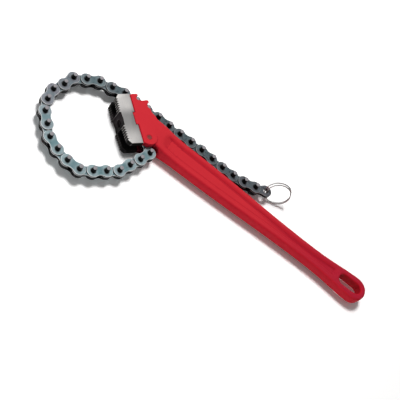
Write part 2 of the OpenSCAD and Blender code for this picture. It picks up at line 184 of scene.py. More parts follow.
class Shader(Graph):
    """A surface material with short words for what is used often."""

    def __init__(self, name: str) -> None:
        """Starts an empty material.

        Args:
            name: Name of the material.
        """
        self.material = bpy.data.materials.new(name)
        self.material.use_nodes = True
        super().__init__(self.material.node_tree)

    def place(self) -> Socket:
        """Object coordinates, in metres."""
        return self.node("ShaderNodeTexCoord", output="Object")

    def height(self) -> Socket:
        """Height above the surface that the part lies on, in metres."""
        return self.node("ShaderNodeSeparateXYZ", inputs={0: self.place()}, output="Z")

    def along(self, turn: float) -> Socket:
        """Distance along the level direction at an angle of turn radians from X, in metres."""
        inputs = {0: self.place(), 1: (cos(turn), sin(turn), 0)}
        return self.node("ShaderNodeVectorMath", {"operation": "DOT_PRODUCT"}, inputs, "Value")

    def reach(self, x: float = 0.0, y: float = 0.0) -> Socket:
        """Level distance from a spot, in metres."""
        return ((self.along(0) - x) ** 2 + (self.along(pi / 2) - y) ** 2) ** 0.5

    def band(self, turn: float, rise: Span, fall: Span) -> Socket:
        """One between a soft rise and a soft fall along a level direction, nought outside."""
        spot = self.along(turn)
        return self.ramp(spot, rise) - self.ramp(spot, fall)

    def stored(self, name: str) -> list[Socket]:
        """The three coordinates of a place that is stored on the mesh."""
        spot = self.node("ShaderNodeAttribute", {"attribute_name": name}, output="Vector")
        return [self.node("ShaderNodeSeparateXYZ", inputs={0: spot}, output=axis) for axis in "XYZ"]

    def attribute(self, name: str) -> Socket:
        """A number that is stored on the mesh."""
        return self.node("ShaderNodeAttribute", {"attribute_name": name}, output="Fac")

    def noise(self, cloud: Cloud) -> Socket:
        """Variation around one half.

        Args:
            cloud: The pattern, shifted by its seed, turned about Z and made finer by its stretch.

        Returns:
            The variation.
        """
        mapping = {
            "Vector": self.place(),
            "Location": [cloud.seed] * 3,
            "Rotation": (0, 0, cloud.turn),
            "Scale": [1 / s for s in cloud.stretch],
        }
        spot = self.node("ShaderNodeMapping", {"vector_type": "TEXTURE"}, mapping)
        inputs = {"Vector": spot, "Scale": 1 / cloud.size, "Detail": cloud.detail}
        return self.node("ShaderNodeTexNoise", inputs=inputs)

    def patches(self, cloud: Cloud) -> Socket:
        """One inside the patches of a pattern and nought outside."""
        return self.ramp(self.noise(cloud), cloud.span)

    def mix(self, share: Any, first: Any, second: Any) -> Socket:
        """Blend of two colours or colour sockets by the share of the second."""
        a, b = [c if isinstance(c, Socket) else (*c, 1.0) for c in (first, second)]
        return self.node("ShaderNodeMix", {"data_type": "RGBA"}, {0: share, 6: a, 7: b}, output=2)

    def bump(self, height: Socket, relief: Span) -> Socket:
        """Normal of a small relief of a given strength and real height in metres."""
        inputs = {"Strength": relief[0], "Distance": relief[1], "Height": height}
        return self.node("ShaderNodeBump", inputs=inputs)

    def end(self, surface: Socket) -> Material:
        """Ends the material in a surface."""
        self.node("ShaderNodeOutputMaterial", inputs={"Surface": surface})
        return self.material


@dataclass(frozen=True)
class Finish:
    """What the part's finishes share."""

    SOCKETS = ("Base Color", "Metallic", "Specular IOR Level", "Roughness", "Normal")
    roughness: float = 0.42
    rough_spread: float = 0.2
    metallic: float = 0.0
    specular: float = 0.5
    relief: Span = (0.12, 0.08 * MM)

    def rough(self, grain: Socket) -> Socket:
        """Roughness that varies with the grain about its middle."""
        return self.roughness + (grain - 0.5) * self.rough_spread

    def cover(self, s: Shader, tone: Socket, rough: Socket, height: Socket) -> Material:
        """Ends a material in a principled surface of a colour, a roughness and a small relief."""
        values = (tone, self.metallic, self.specular, rough, s.bump(height, self.relief))
        return s.end(s.node("ShaderNodeBsdfPrincipled", inputs=dict(zip(self.SOCKETS, values))))


@dataclass(frozen=True)
class Enamel(Finish):
    """Satin enamel on a forging, paler on worn edges; hollows, flanks, the anchor's surround and
    the grip's end get painted shade.
    """

    colour: Colour = (0.584, 0.0273, 0.0381)
    deep: Colour = (0.356, 0.00635, 0.0203)
    end_shade: Colour = (0.352, 0.010, 0.034)
    steep_shade: Colour = (0.55, 0.0125, 0.027)
    worn: Colour = (0.686, 0.0508, 0.061)
    shade_red: Colour = (0.0381, 0.00254, 0.0102)
    roughness: float = 0.46
    rough_spread: float = 0.16
    specular: float = 0.06
    relief: Span = (0.10, 0.25 * MM)
    cloud: Cloud = Cloud(38 * MM, (0.3, 0.7), 4)
    cloud_share: float = 0.12
    cloud_rough: float = 0.06
    grain: Cloud = Cloud(2.2 * MM)
    grain_relief: float = 0.8
    peel: Cloud = Cloud(0.9 * MM, detail=2)
    end_shade_along: Span = (120 * MM, 325 * MM)
    end_shade_level: Span = (0.1, 0.95)
    end_shade_share: float = 0.7
    steep_shade_level: Span = (0.97, 0.6)
    worn_grain: Span = (0.35, 0.65)
    worn_share: float = 0.2
    ear_reach: Span = (9 * MM, 19 * MM)
    ear_height: Span = (9 * MM, 11.5 * MM)
    ear_shade: float = 0.36
    mouth_x: float = -2 * MM
    mouth_y: float = -9 * MM
    mouth_reach: Span = (11 * MM, 6 * MM)
    mouth_height: Span = (2 * MM, 0.0)
    mouth_shade: float = 0.9

    def material(self, anchor: Vector) -> Material:
        """Makes the enamel.

        Args:
            anchor: Middle of the anchor pin, round which shade is painted between the ears and in
                the mouth of their slot.

        Returns:
            The material.
        """
        s = Shader("red_enamel")
        cloud = s.patches(self.cloud)
        grain = s.noise(self.grain)
        level = s.attribute("level")
        # Painted shade: level faces darken towards the grip's end, where the light falls off.
        end_dim = s.ramp(s.along(0), self.end_shade_along) * s.ramp(level, self.end_shade_level)
        tone = s.mix(cloud * self.cloud_share, self.colour, self.deep)
        tone = s.mix(end_dim * self.end_shade_share, tone, self.end_shade)
        # Painted shade: steep faces take a deeper red in place of the sheen that level faces catch.
        tone = s.mix(s.ramp(level, self.steep_shade_level), tone, self.steep_shade)
        # Painted shade: concave places darken to the deep red.
        tone = s.mix(s.attribute("hollow"), tone, self.deep)
        rise = s.height() - anchor.z
        # Painted shade on the walls round the anchor, under the ears.
        unshaded = s.ramp(s.reach(anchor.x, anchor.y), self.ear_reach)
        unshaded = unshaded + s.ramp(abs(rise), self.ear_height)
        tone = s.mix(self.ear_shade - self.ear_shade * unshaded, tone, self.shade_red)
        # Painted shade in the mouth of the ears' slot, below the anchor's middle.
        reach = s.reach(anchor.x + self.mouth_x, anchor.y + self.mouth_y)
        mouth = s.ramp(reach, self.mouth_reach) * s.ramp(rise, self.mouth_height)
        tone = s.mix(mouth * self.mouth_shade, tone, self.shade_red)
        edge = s.attribute("edge") * s.ramp(grain, self.worn_grain) * self.worn_share
        tone = s.mix(edge, tone, self.worn)
        rough = self.rough(grain) + cloud * self.cloud_rough
        return self.cover(s, tone, rough, s.noise(self.peel) + grain * self.grain_relief)


@dataclass(frozen=True)
class GroundSteel(Finish):
    """Bare steel that was ground flat, with fine lines along the jaw and a darker middle band that
    is a painted reflection.
    """

    colour: Colour = (0.864, 0.832, 0.806)
    shade: Colour = (0.457, 0.451, 0.444)
    dim_reflection: Colour = (0.216, 0.218, 0.216)
    stain: Colour = (0.508, 0.457, 0.406)
    roughness: float = 0.40
    rough_spread: float = 0.25
    metallic: float = 0.85
    relief: Span = (0.18, 0.08 * MM)
    lines: Cloud = Cloud(0.6 * MM, detail=4, turn=JAW_LAY, stretch=(0.06, 1, 1))
    line_share: float = 0.3
    cloud: Cloud = Cloud(24 * MM, (0.35, 0.65))
    cloud_share: float = 0.2
    specks: Cloud = Cloud(1.6 * MM, (0.66, 0.74), 2, 3 * MM)
    speck_share: float = 0.45
    speck_rough: float = 0.2
    dim_reflection_rise: Span = (-24 * MM, -10 * MM)
    dim_reflection_fall: Span = (-3 * MM, 24 * MM)
    dim_reflection_share: float = 0.75

    def material(self) -> Material:
        """Makes the ground steel.

        Returns:
            The material.
        """
        s = Shader("ground_steel")
        lines = s.noise(self.lines)
        specks = s.patches(self.specks)
        share = lines * self.line_share + s.patches(self.cloud) * self.cloud_share
        tone = s.mix(share, self.colour, self.shade)
        # Painted reflection: a darker band across the jaw's middle.
        middle = s.band(JAW_LAY, self.dim_reflection_rise, self.dim_reflection_fall)
        tone = s.mix(middle * self.dim_reflection_share, tone, self.dim_reflection)
        tone = s.mix(specks * self.speck_share, tone, self.stain)
        return self.cover(s, tone, self.rough(lines) + specks * self.speck_rough, lines)


@dataclass(frozen=True)
class BlackSteel(Finish):
    """Blackened steel, brown on the jaw's web; tooth crests are bright from wear plus a painted
    highlight, fainter on the lower teeth.
    """

    # Near black: blackened steel, darkened further as painted shade on the jaw's front and teeth.
    colour: Colour = (0.00152, 0.00127, 0.00152)
    brown: Colour = (0.0305, 0.0241, 0.0267)
    bare: Colour = (0.508, 0.476, 0.457)
    roughness: float = 0.55
    rough_spread: float = 0.25
    specular: float = 0.04
    relief: Span = (0.2, 0.12 * MM)
    cloud: Cloud = Cloud(9 * MM, (0.4, 0.68), 4, 11 * MM)
    cloud_share: float = 0.15
    grain: Cloud = Cloud(0.8 * MM)
    web_rise: Span = (-26 * MM, -20 * MM)
    web_fall: Span = (-8 * MM, -2 * MM)
    web_share: float = 0.75
    crest_edge: Span = (0.45, 0.9)
    crest_height: Span = (9 * MM, 16 * MM)
    crest_low: float = 0.3
    crest_share: float = 0.8
    edge_share: float = 0.04
    wear_glint_grain: Span = (0.4, 0.62)
    wear_glint_low: float = 0.5
    wear_glint_smooth: float = 0.12

    def material(self) -> Material:
        """Makes the blackened steel.

        Returns:
            The material.
        """
        s = Shader("black_steel")
        grain = s.noise(self.grain)
        edge = s.attribute("edge")
        # Tooth crests: real wear plus a painted highlight, fading towards the bottom of the teeth.
        crest = s.ramp(edge, self.crest_edge) * s.attribute("tooth")
        crest = crest * s.ramp(s.height(), self.crest_height, (self.crest_low, 1.0))
        rubbed = edge * self.edge_share + crest * self.crest_share
        rubbed = rubbed * s.ramp(grain, self.wear_glint_grain, (self.wear_glint_low, 1.0))
        web = s.band(JAW_LAY, self.web_rise, self.web_fall)
        share = s.patches(self.cloud) * self.cloud_share + web * self.web_share
        tone = s.mix(rubbed, s.mix(share, self.colour, self.brown), self.bare)
        return self.cover(s, tone, self.rough(grain) - rubbed * self.wear_glint_smooth, grain)


@dataclass(frozen=True)
class ChainSteel(Finish):
    """Heat-treated plates, grey to blue-green: rims with a painted highlight, black sides and
    painted shadow round the pins.
    """

    grey: Colour = (0.286, 0.279, 0.318)
    green: Colour = (0.305, 0.419, 0.438)
    teal: Colour = (0.108, 0.216, 0.241)
    dark: Colour = (0.0445, 0.047, 0.0533)
    black: Colour = (0.00381, 0.00318, 0.00381)
    bare: Colour = (0.95, 0.95, 0.95)
    metallic: float = 0.2
    specular: float = 0.1
    relief: Span = (0.12, 0.06 * MM)
    cloud: Cloud = Cloud(7 * MM, (0.32, 0.68), 4)
    cloud_share: float = 0.3
    tone_share: float = 0.7
    grain: Cloud = Cloud(0.5 * MM)
    smut: Cloud = Cloud(3 * MM, (0.52, 0.72), 4, 7 * MM)
    smut_share: float = 0.3
    smut_rough: float = 0.12
    shade_share: float = 0.7
    pin_shade_reach: Span = (0.19, 0.25)
    pin_shade_left: float = 0.1
    face_height: Span = (0.42, 0.7)
    waist_reach: Span = (0.12, 0.45)
    waist_share: float = 0.25
    waist_tone: float = 0.5
    rim_grain: Span = (0.35, 0.6)
    rim_low: float = 0.6
    rim_share: float = 0.85
    rim_shade: float = 0.6

    def material(self) -> Material:
        """Makes the plates' steel, shown only on the faces that turn out of the chain; the walls
        are black oxide, and the black on inward faces and their rims is painted shade.

        The stored spot counts in pitches along the plate and in half thicknesses up.

        Returns:
            The material.
        """
        s = Shader("chain_steel")
        x, y, z = s.stored("spot")
        tint, dim = s.attribute("tone"), s.attribute("shade")
        # Painted shadow: a dark ring round each pin.
        unshaded = s.ramp((x * x + y * y) ** 0.5, self.pin_shade_reach)
        unshaded = unshaded * s.ramp(((x - 1) * (x - 1) + y * y) ** 0.5, self.pin_shade_reach)
        face = s.ramp(z * s.attribute("side"), self.face_height)
        grain = s.noise(self.grain)
        smut = s.patches(self.smut)
        share = tint * self.tone_share + s.patches(self.cloud) * self.cloud_share
        tone = s.mix(share, self.grey, self.green)
        waist = s.ramp(0.5 - abs(x - 0.5), self.waist_reach)
        tone = s.mix(waist * (self.waist_share + self.waist_tone * tint), tone, self.teal)
        # Painted shade: plates darken link by link past the bright ones; smut adds real dirt.
        tone = s.mix(smut * self.smut_share + dim * self.shade_share, tone, self.dark)
        # Painted highlight on the rims, dimmer on the shaded links.
        rim = s.attribute("edge") * s.ramp(grain, self.rim_grain, (self.rim_low, 1.0))
        tone = s.mix(rim * (self.rim_share - self.rim_shade * dim), tone, self.bare)
        # Painted shade between the plates: inward faces and their rims stay black.
        shown = face * (self.pin_shade_left + (1 - self.pin_shade_left) * unshaded)
        tone = s.mix(shown, self.black, tone)
        return self.cover(s, tone, self.rough(grain) + smut * self.smut_rough, grain)


@dataclass(frozen=True)
class PinSteel(Finish):
    """Dark pins whose ends are rubbed bright."""

    colour: Colour = (0.00254, 0.00381, 0.00445)
    brown: Colour = (0.00889, 0.00889, 0.00889)
    bare: Colour = (0.343, 0.33, 0.349)
    metallic: float = 0.2
    specular: float = 0.05
    cloud: Cloud = Cloud(4 * MM, (0.4, 0.7))
    grain: Cloud = Cloud(0.7 * MM)
    end_grain: Span = (0.3, 0.6)
    end_low: float = 0.7
    end_smooth: float = 0.08

    def material(self) -> Material:
        """Makes the pins' steel.

        Returns:
            The material.
        """
        s = Shader("pin_steel")
        grain = s.noise(self.grain)
        end = s.attribute("edge") * s.ramp(grain, self.end_grain, (self.end_low, 1.0))
        tone = s.mix(end, s.mix(s.patches(self.cloud), self.colour, self.brown), self.bare)
        return self.cover(s, tone, self.rough(grain) - end * self.end_smooth, grain)


@dataclass(frozen=True)
class RivetSteel(Finish):
    """The anchor pin's end, bare steel in a thin rim of paint."""

    colour: Colour = (0.279, 0.0674, 0.0610)
    paint: Colour = (0.432, 0.0381, 0.0445)
    bare: Colour = (0.508, 0.241, 0.222)
    roughness: float = 0.4
    metallic: float = 0.6
    relief: Span = (0.15, 0.08 * MM)
    grain: Cloud = Cloud(0.8 * MM)
    paint_grain: Span = (0.4, 0.65)
    bare_grain: Span = (0.3, 0.6)
    bare_share: float = 0.8

    def material(self) -> Material:
        """Makes the rivet's steel.

        Returns:
            The material.
        """
        s = Shader("rivet_steel")
        grain = s.noise(self.grain)
        rim = s.attribute("edge") * s.ramp(grain, self.bare_grain) * self.bare_share
        tone = s.mix(s.ramp(grain, self.paint_grain), self.colour, self.paint)
        return self.cover(s, s.mix(rim, tone, self.bare), self.rough(grain), grain)


@dataclass(frozen=True)
class WireSteel(Finish):
    """Bright drawn wire with a faint warm stain."""

    colour: Colour = (0.457, 0.444, 0.438)
    stain: Colour = (0.216, 0.184, 0.178)
    roughness: float = 0.28
    metallic: float = 0.95
    relief: Span = (0.1, 0.04 * MM)
    cloud: Cloud = Cloud(5 * MM, (0.4, 0.72), 4)
    cloud_share: float = 0.6
    cloud_rough: float = 0.1
    grain: Cloud = Cloud(0.4 * MM)

    def material(self) -> Material:
        """Makes the wire's steel.

        Returns:
            The material.
        """
        s = Shader("wire_steel")
        cloud = s.patches(self.cloud)
        grain = s.noise(self.grain)
        tone = s.mix(cloud * self.cloud_share, self.colour, self.stain)
        return self.cover(s, tone, self.rough(grain) + cloud * self.cloud_rough, grain)


@dataclass(frozen=True)
class PaleFloor:
    """Matt white surface that takes the shadow and passes into a white background far off."""

    colour: Colour = (0.95, 0.945, 0.94)
    shown: Colour = (1.2, 1.195, 1.19)
    fade: Span = (0.42, 0.85)

    def material(self) -> Material:
        """Makes the floor.

        Returns:
            The material.
        """
        s = Shader("pale_floor")
        seen = s.node("ShaderNodeLightPath", output="Is Camera Ray")
        tone = s.mix(seen, self.colour, self.shown)
        matt = s.node("ShaderNodeBsdfDiffuse", inputs={"Color": tone})
        white = s.node("ShaderNodeEmission", inputs={"Color": WHITE, "Strength": 1.0})
        for ray in ("Is Glossy Ray", "Is Transmission Ray"):
            seen = seen + s.node("ShaderNodeLightPath", output=ray)
        far = s.ramp(s.reach(), self.fade)
        return s.end(s.node("ShaderNodeMixShader", inputs={0: far * seen, 1: matt, 2: white}))


def place_object(name: str, data: Any) -> Object:
    """Puts data into the scene as an object at the origin.

    Args:
        name: Name of the object.
        data: Mesh, curve, light or camera.

    Returns:
        The object.
    """
    made = bpy.data.objects.new(name, data)
    bpy.context.scene.collection.objects.link(made)
    return made


def settle(obj: Object) -> Object:
    """Turns an object with modifiers into a plain mesh of the same name.

    Args:
        obj: Object whose modifiers give its shape.

    Returns:
        The plain mesh object, at the origin.
    """
    graph = bpy.context.evaluated_depsgraph_get()
    mesh = bpy.data.meshes.new_from_object(
        obj.evaluated_get(graph), preserve_all_data_layers=True, depsgraph=graph
    )
    name, data = obj.name, obj.data
    bpy.data.objects.remove(obj)
    if data.users == 0:
        store = bpy.data.meshes if isinstance(data, Mesh) else bpy.data.curves
        store.remove(data)
    mesh.name = name
    return place_object(name, mesh)


@contextmanager
def editing(mesh: Mesh, source: Optional[Mesh] = None) -> Iterator[bmesh.types.BMesh]:
    """Opens a mesh for editing and writes the result back.

    Args:
        mesh: Mesh that takes the result.
        source: Mesh to start from; none starts from the mesh itself.

    Returns:
        The shape to edit.
    """
    shape = bmesh.new()
    shape.from_mesh(mesh if source is None else source)
    yield shape
    shape.to_mesh(mesh)
    shape.free()


def cad_copy(node: str, name: str) -> Object:
    """Copies a CAD node's mesh with its points merged.

    Args:
        node: Name of the CAD node.
        name: Name of the copy.

    Returns:
        The copy.
    """
    mesh = bpy.data.meshes.new(name)
    with editing(mesh, frame["nodes"][node].data) as shape:
        bmesh.ops.remove_doubles(shape, verts=shape.verts, dist=MERGE)
        bmesh.ops.dissolve_degenerate(shape, dist=MERGE, edges=shape.edges)
    return place_object(name, mesh)


def node_middle(node: str) -> Vector:
    """Middle of a CAD node's box."""
    low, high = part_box(node)
    return (low + high) / 2


def store_edges(mesh: Mesh, bends: Span) -> None:
    """Stores on each point how far it stands out, lies in and is level: edge, hollow and level.

    Args:
        mesh: Mesh to measure.
        bends: Bends at which an edge begins to count and counts fully, per metre; a hollow
            counts from a share of them.
    """
    rows = []
    for items, name, width, kind in (
        (mesh.vertices, "co", 3, float),
        (mesh.vertex_normals, "vector", 3, float),
        (mesh.edges, "vertices", 2, np.int64),
    ):
        values = np.empty(len(items) * width, dtype=kind)
        items.foreach_get(name, values)
        rows.append(values.reshape(-1, width))
    spots, normals, pairs = rows
    way = spots[pairs[:, 1]] - spots[pairs[:, 0]]
    far = np.maximum((way**2).sum(1), TINY)
    bend = np.zeros(len(spots))
    tally = np.zeros(len(spots))
    for end, sign in ((0, 1.0), (1, -1.0)):
        at = pairs[:, end]
        np.add.at(bend, at, -sign * (normals[at] * way).sum(1) / far)
        np.add.at(tally, at, 1)
    bend /= np.maximum(tally, 1)
    found = {"level": np.abs(normals[:, 2])}
    start, full = bends
    for name, share in (("edge", 1.0), ("hollow", -HOLLOW_SHARE)):
        found[name] = np.clip((bend / share - start) / (full - start), 0, 1)
    for name, values in found.items():
        mesh.attributes.new(name, "FLOAT", "POINT").data.foreach_set("value", values)


def shade(mesh: Mesh, angle: float) -> None:
    """Smooth shading that stays sharp over edges of more than angle degrees."""
    mesh.shade_smooth()
    mesh.set_sharp_from_angle(angle=radians(angle))


def dress(obj: Object, slot: Slot, body: str, node: str, *materials: Material) -> None:
    """Gives a piece its finish and its body, and hides the CAD node that it stands for.

    Args:
        obj: The piece.
        slot: Material slot of the part; not used.
        body: Body that carries it.
        node: CAD node that it replaces.
        materials: Materials in the order of the mesh's slots; none leaves those it has.
    """
    if materials:
        obj.data.materials.clear()
        for material in materials:
            obj.data.materials.append(material)
    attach(obj, body)
    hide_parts(node)
    log.info("%s rides on %s", obj.name, body)


def turned(name: str, radius: float, half: float, end: Profile, steps: int) -> Object:
    """Turns a pin with two like ends about Z.

    Args:
        name: Name of the pin.
        radius: Its radius.
        half: Half of its length.
        end: The end's profile from its middle out, as places out and down in radii.
        steps: Number of steps around.

    Returns:
        The pin, at the origin.
    """
    top = [(out * radius, half - down * radius) for out, down in end]
    turns = [2 * pi * i / steps for i in range(steps)]
    mesh = bpy.data.meshes.new(name)
    with editing(mesh) as shape:
        rings = []
        for r, z in top + [(r, -z) for r, z in reversed(top)]:
            spots = [(r * cos(t), r * sin(t), z) for t in turns] if r else [(0, 0, z)]
            rings.append([shape.verts.new(spot) for spot in spots])
        for upper, lower in zip(rings, rings[1:]):
            for i in range(steps):
                corners = [ring[i % len(ring)] for ring in (upper, lower)]
                corners += [ring[(i + 1) % steps % len(ring)] for ring in (lower, upper)]
                shape.faces.new(list(dict.fromkeys(corners)))
        bmesh.ops.recalc_face_normals(shape, faces=shape.faces)
    return place_object(name, mesh)


@dataclass
class Handle:
    """The forging: head with horns and ears, channelled grip and hanging end."""

    voxel: float = 0.62 * MM
    smooth_share: float = 0.5
    soften: int = 6
    channel_soften: int = 14
    front_soften: int = 70
    channel_from: float = 22 * MM
    channel_end_gap: float = 15 * MM
    rail: float = 4.2 * MM
    slice_len: float = 2 * MM
    sharp: float = 60.0
    bends: Span = (180, 700)
    enamel: Enamel = field(default_factory=Enamel)

    def soften_channel(self, mesh: Mesh) -> None:
        """Draws the channel's walls out into broad hollows between the rails, the front one most.

        Args:
            mesh: The forging's mesh.
        """
        low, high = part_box("handle")
        last = high.x - self.channel_end_gap
        with editing(mesh) as shape:
            slices = [(v, int((v.co.x - low.x) / self.slice_len)) for v in shape.verts]
            widths: dict[int, float] = {}
            for vert, spot in slices:
                widths[spot] = max(widths.get(spot, 0.0), abs(vert.co.y))
            inner = [
                v
                for v, spot in slices
                if self.channel_from < v.co.x < last and abs(v.co.y) < widths[spot] - self.rail
            ]
            front = [v for v in inner if v.co.y < 0]
            only_up = {"factor": self.smooth_share, "use_axis_z": True}
            for verts, rounds in ((inner, self.channel_soften), (front, self.front_soften)):
                for _ in range(rounds):
                    bmesh.ops.smooth_vert(shape, verts=verts, **only_up)

    def build(self) -> None:
        """Draws a fine skin over the forging and softens its edges as a die and paint do."""
        obj = cad_copy("handle", "handle_forging")
        skin = obj.modifiers.new("skin", "REMESH")
        skin.mode = "VOXEL"
        skin.voxel_size = self.voxel
        soft = obj.modifiers.new("soft", "SMOOTH")
        soft.factor = self.smooth_share
        soft.iterations = self.soften
        obj = settle(obj)
        self.soften_channel(obj.data)
        shade(obj.data, self.sharp)
        store_edges(obj.data, self.bends)
        enamel = self.enamel.material(node_middle("anchor_pin"))
        dress(obj, Slot.PAINT, Body.TOOL.value, "handle", enamel)


@dataclass
class Jaw:
    """The toothed jaw, its screw and the anchor pin beside it."""

    bevel: float = 0.22 * MM
    bends: Span = (150, 800)
    screw_bevel: float = 0.25 * MM
    screw_bends: Span = (300, 1500)
    bevel_angle: float = radians(24)
    bevel_segments: int = 2
    flat_angle: float = radians(0.5)
    sharp: float = 30.0
    level: float = 0.5
    side_skin: float = 1.0 * MM
    tooth_reach: float = 1.6 * MM
    rivet_r: float = 2.9 * MM
    rivet_end: Profile = ((0, 0.5 / 2.9), (0.45, 0.5 / 2.9), (0.62, 0), (0.86, 0), (1, 0.14))
    rivet_steps: int = 40
    rivet_bends: Span = (200, 1200)
    ground: GroundSteel = field(default_factory=GroundSteel)
    black: BlackSteel = field(default_factory=BlackSteel)
    rivet: RivetSteel = field(default_factory=RivetSteel)

    def bevelled(self, node: str, name: str, width: float, bends: Span) -> Object:
        """Copies a CAD node, breaks its sharp edges and measures them.

        Args:
            node: CAD node.
            name: Name of the piece.
            width: Width of the broken edge, in metres.
            bends: Bends at which an edge begins to count and counts fully, per metre.

        Returns:
            The piece as a plain mesh.
        """
        obj = cad_copy(node, name)
        with editing(obj.data) as shape:
            bmesh.ops.dissolve_limit(
                shape, angle_limit=self.flat_angle, verts=shape.verts, edges=shape.edges
            )
        broken = obj.modifiers.new("broken", "BEVEL")
        broken.width = width
        broken.segments = self.bevel_segments
        broken.limit_method = "ANGLE"
        broken.angle_limit = self.bevel_angle
        broken.use_clamp_overlap = True
        obj = settle(obj)
        shade(obj.data, self.sharp)
        store_edges(obj.data, bends)
        return obj

    def mark_faces(self, mesh: Mesh) -> None:
        """Gives the outer sides the first material, the rest the second, and marks the teeth.

        Args:
            mesh: The jaw's mesh.
        """
        low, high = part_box("jaw")
        teeth = mesh.attributes.new("tooth", "FLOAT", "FACE")
        for face in mesh.polygons:
            level = abs(face.normal.z) > self.level
            z = face.center.z
            outer = z < low.z + self.side_skin or z > high.z - self.side_skin
            face.material_index = 0 if level and outer else 1
            reach = max((mesh.vertices[v].co - face.center).xy.length for v in face.vertices)
            teeth.data[face.index].value = float(not level and reach < self.tooth_reach)

    def anchor(self) -> None:
        """Turns the anchor pin with a dimple in each end."""
        low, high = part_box("anchor_pin")
        half = (high.z - low.z) / 2
        obj = turned("anchor_rivet", self.rivet_r, half, self.rivet_end, self.rivet_steps)
        obj.data.transform(Matrix.Translation(node_middle("anchor_pin")))
        shade(obj.data, self.sharp)
        store_edges(obj.data, self.rivet_bends)
        dress(obj, Slot.RIVET, Body.TOOL.value, "anchor_pin", self.rivet.material())

    def build(self) -> None:
        """Makes the jaw with ground sides and black teeth, its screw and the anchor pin."""
        black = self.black.material()
        jaw = self.bevelled("jaw", "jaw_block", self.bevel, self.bends)
        dress(jaw, Slot.GROUND, Body.TOOL.value, "jaw", self.ground.material(), black)
        self.mark_faces(jaw.data)
        screw = self.bevelled("jaw_screw", "jaw_socket_screw", self.screw_bevel, self.screw_bends)
        dress(screw, Slot.BLACK, Body.TOOL.value, "jaw_screw", black)
        self.anchor()


class Recipe(Graph):
    """Geometry nodes with named inputs, among them the finish, that are run to a plain mesh."""

    def __init__(self, name: str, kinds: dict[str, str]) -> None:
        """Starts the tree.

        Args:
            name: Name of the tree.
            kinds: Socket types of the inputs by name.
        """
        super().__init__(bpy.data.node_groups.new(name, "GeometryNodeTree"))
        ports = self.tree.interface
        for key, kind in kinds.items():
            ports.new_socket(key, in_out="INPUT", socket_type=f"NodeSocket{kind}")
        ports.new_socket("Geometry", in_out="OUTPUT", socket_type="NodeSocketGeometry")

    def given(self, name: str) -> Socket:
        """One of the tree's own inputs."""
        return self.node("NodeGroupInput", output=name)

    def geometry(self, kind: str, shape: Socket, **inputs: Any) -> Socket:
        """Adds a geometry node that changes a shape, with its other inputs by name."""
        return self.node(f"GeometryNode{kind}", inputs={"Geometry": shape, **inputs})

    def finish(self, shape: Socket) -> None:
        """Ends the tree in a shape that has the finish."""
        done = self.geometry("SetMaterial", shape, Material=self.given("Finish"))
        self.node("NodeGroupOutput", inputs={"Geometry": done})

    def run(self, obj: Object, **values: Any) -> Object:
        """Runs the tree once.

        Args:
            obj: Object that carries the tree.
            values: The tree's inputs by name.

        Returns:
            The result as a plain mesh of the same name.
        """
        step = obj.modifiers.new("recipe", "NODES")
        step.node_group = self.tree
        for item in self.tree.interface.items_tree:
            if item.in_out == "INPUT" and item.name in values:
                step[item.identifier] = values[item.name]
        return settle(obj)


class PairRecipe(Recipe):
    """Lays two copies of a blank at a link's place."""

    KINDS = {"Blank": "Object", "Finish": "Material"}
    KINDS |= dict.fromkeys(("First", "Step", "Place"), "Vector")
    KINDS |= dict.fromkeys(("Turn", "Tone", "Shade"), "Float")

    def __init__(self) -> None:
        """Builds the tree."""
        super().__init__("link_pair", self.KINDS)
        line = {"Count": 2, "Start Location": self.given("First"), "Offset": self.given("Step")}
        spots = self.node("GeometryNodeMeshLine", inputs=line)
        spots = self.store(spots, "side", self.node("GeometryNodeInputIndex") * 2 - 1)
        source = {"Object": self.given("Blank")}
        blank = self.node("GeometryNodeObjectInfo", inputs=source, output="Geometry")
        copies = {"Points": spots, "Instance": blank}
        pair = self.node("GeometryNodeInstanceOnPoints", inputs=copies)
        turn = self.node("ShaderNodeCombineXYZ", inputs={"Z": self.given("Turn")})
        laid = self.geometry("Transform", pair, Translation=self.given("Place"), Rotation=turn)
        real = self.geometry("RealizeInstances", laid)
        for name in ("Tone", "Shade"):
            real = self.store(real, name.lower(), self.given(name))
        self.finish(real)

    def store(self, shape: Socket, name: str, value: Socket) -> Socket:
        """Stores a number on every point of a shape under a name."""
        return self.geometry("StoreNamedAttribute", shape, Name=name, Value=value)

    def lay(self, name: str, **values: Any) -> Object:
        """Lays one pair as a plain mesh, with the tree's inputs by name."""
        return self.run(place_object(name, bpy.data.meshes.new(name)), **values)


class WireRecipe(Recipe):
    """Draws round wire along a path."""

    KINDS = {"Path": "Geometry", "Radius": "Float", "Sides": "Int", "Finish": "Material"}

    def __init__(self) -> None:
        """Builds the tree."""
        super().__init__("round_wire", self.KINDS)
        circle = {"Resolution": self.given("Sides"), "Radius": self.given("Radius")}
        ring = self.node("GeometryNodeCurvePrimitiveCircle", inputs=circle)
        sweep = {"Curve": self.given("Path"), "Profile Curve": ring, "Fill Caps": True}
        tube = self.node("GeometryNodeCurveToMesh", inputs=sweep)
        self.finish(self.geometry("RealizeInstances", tube))


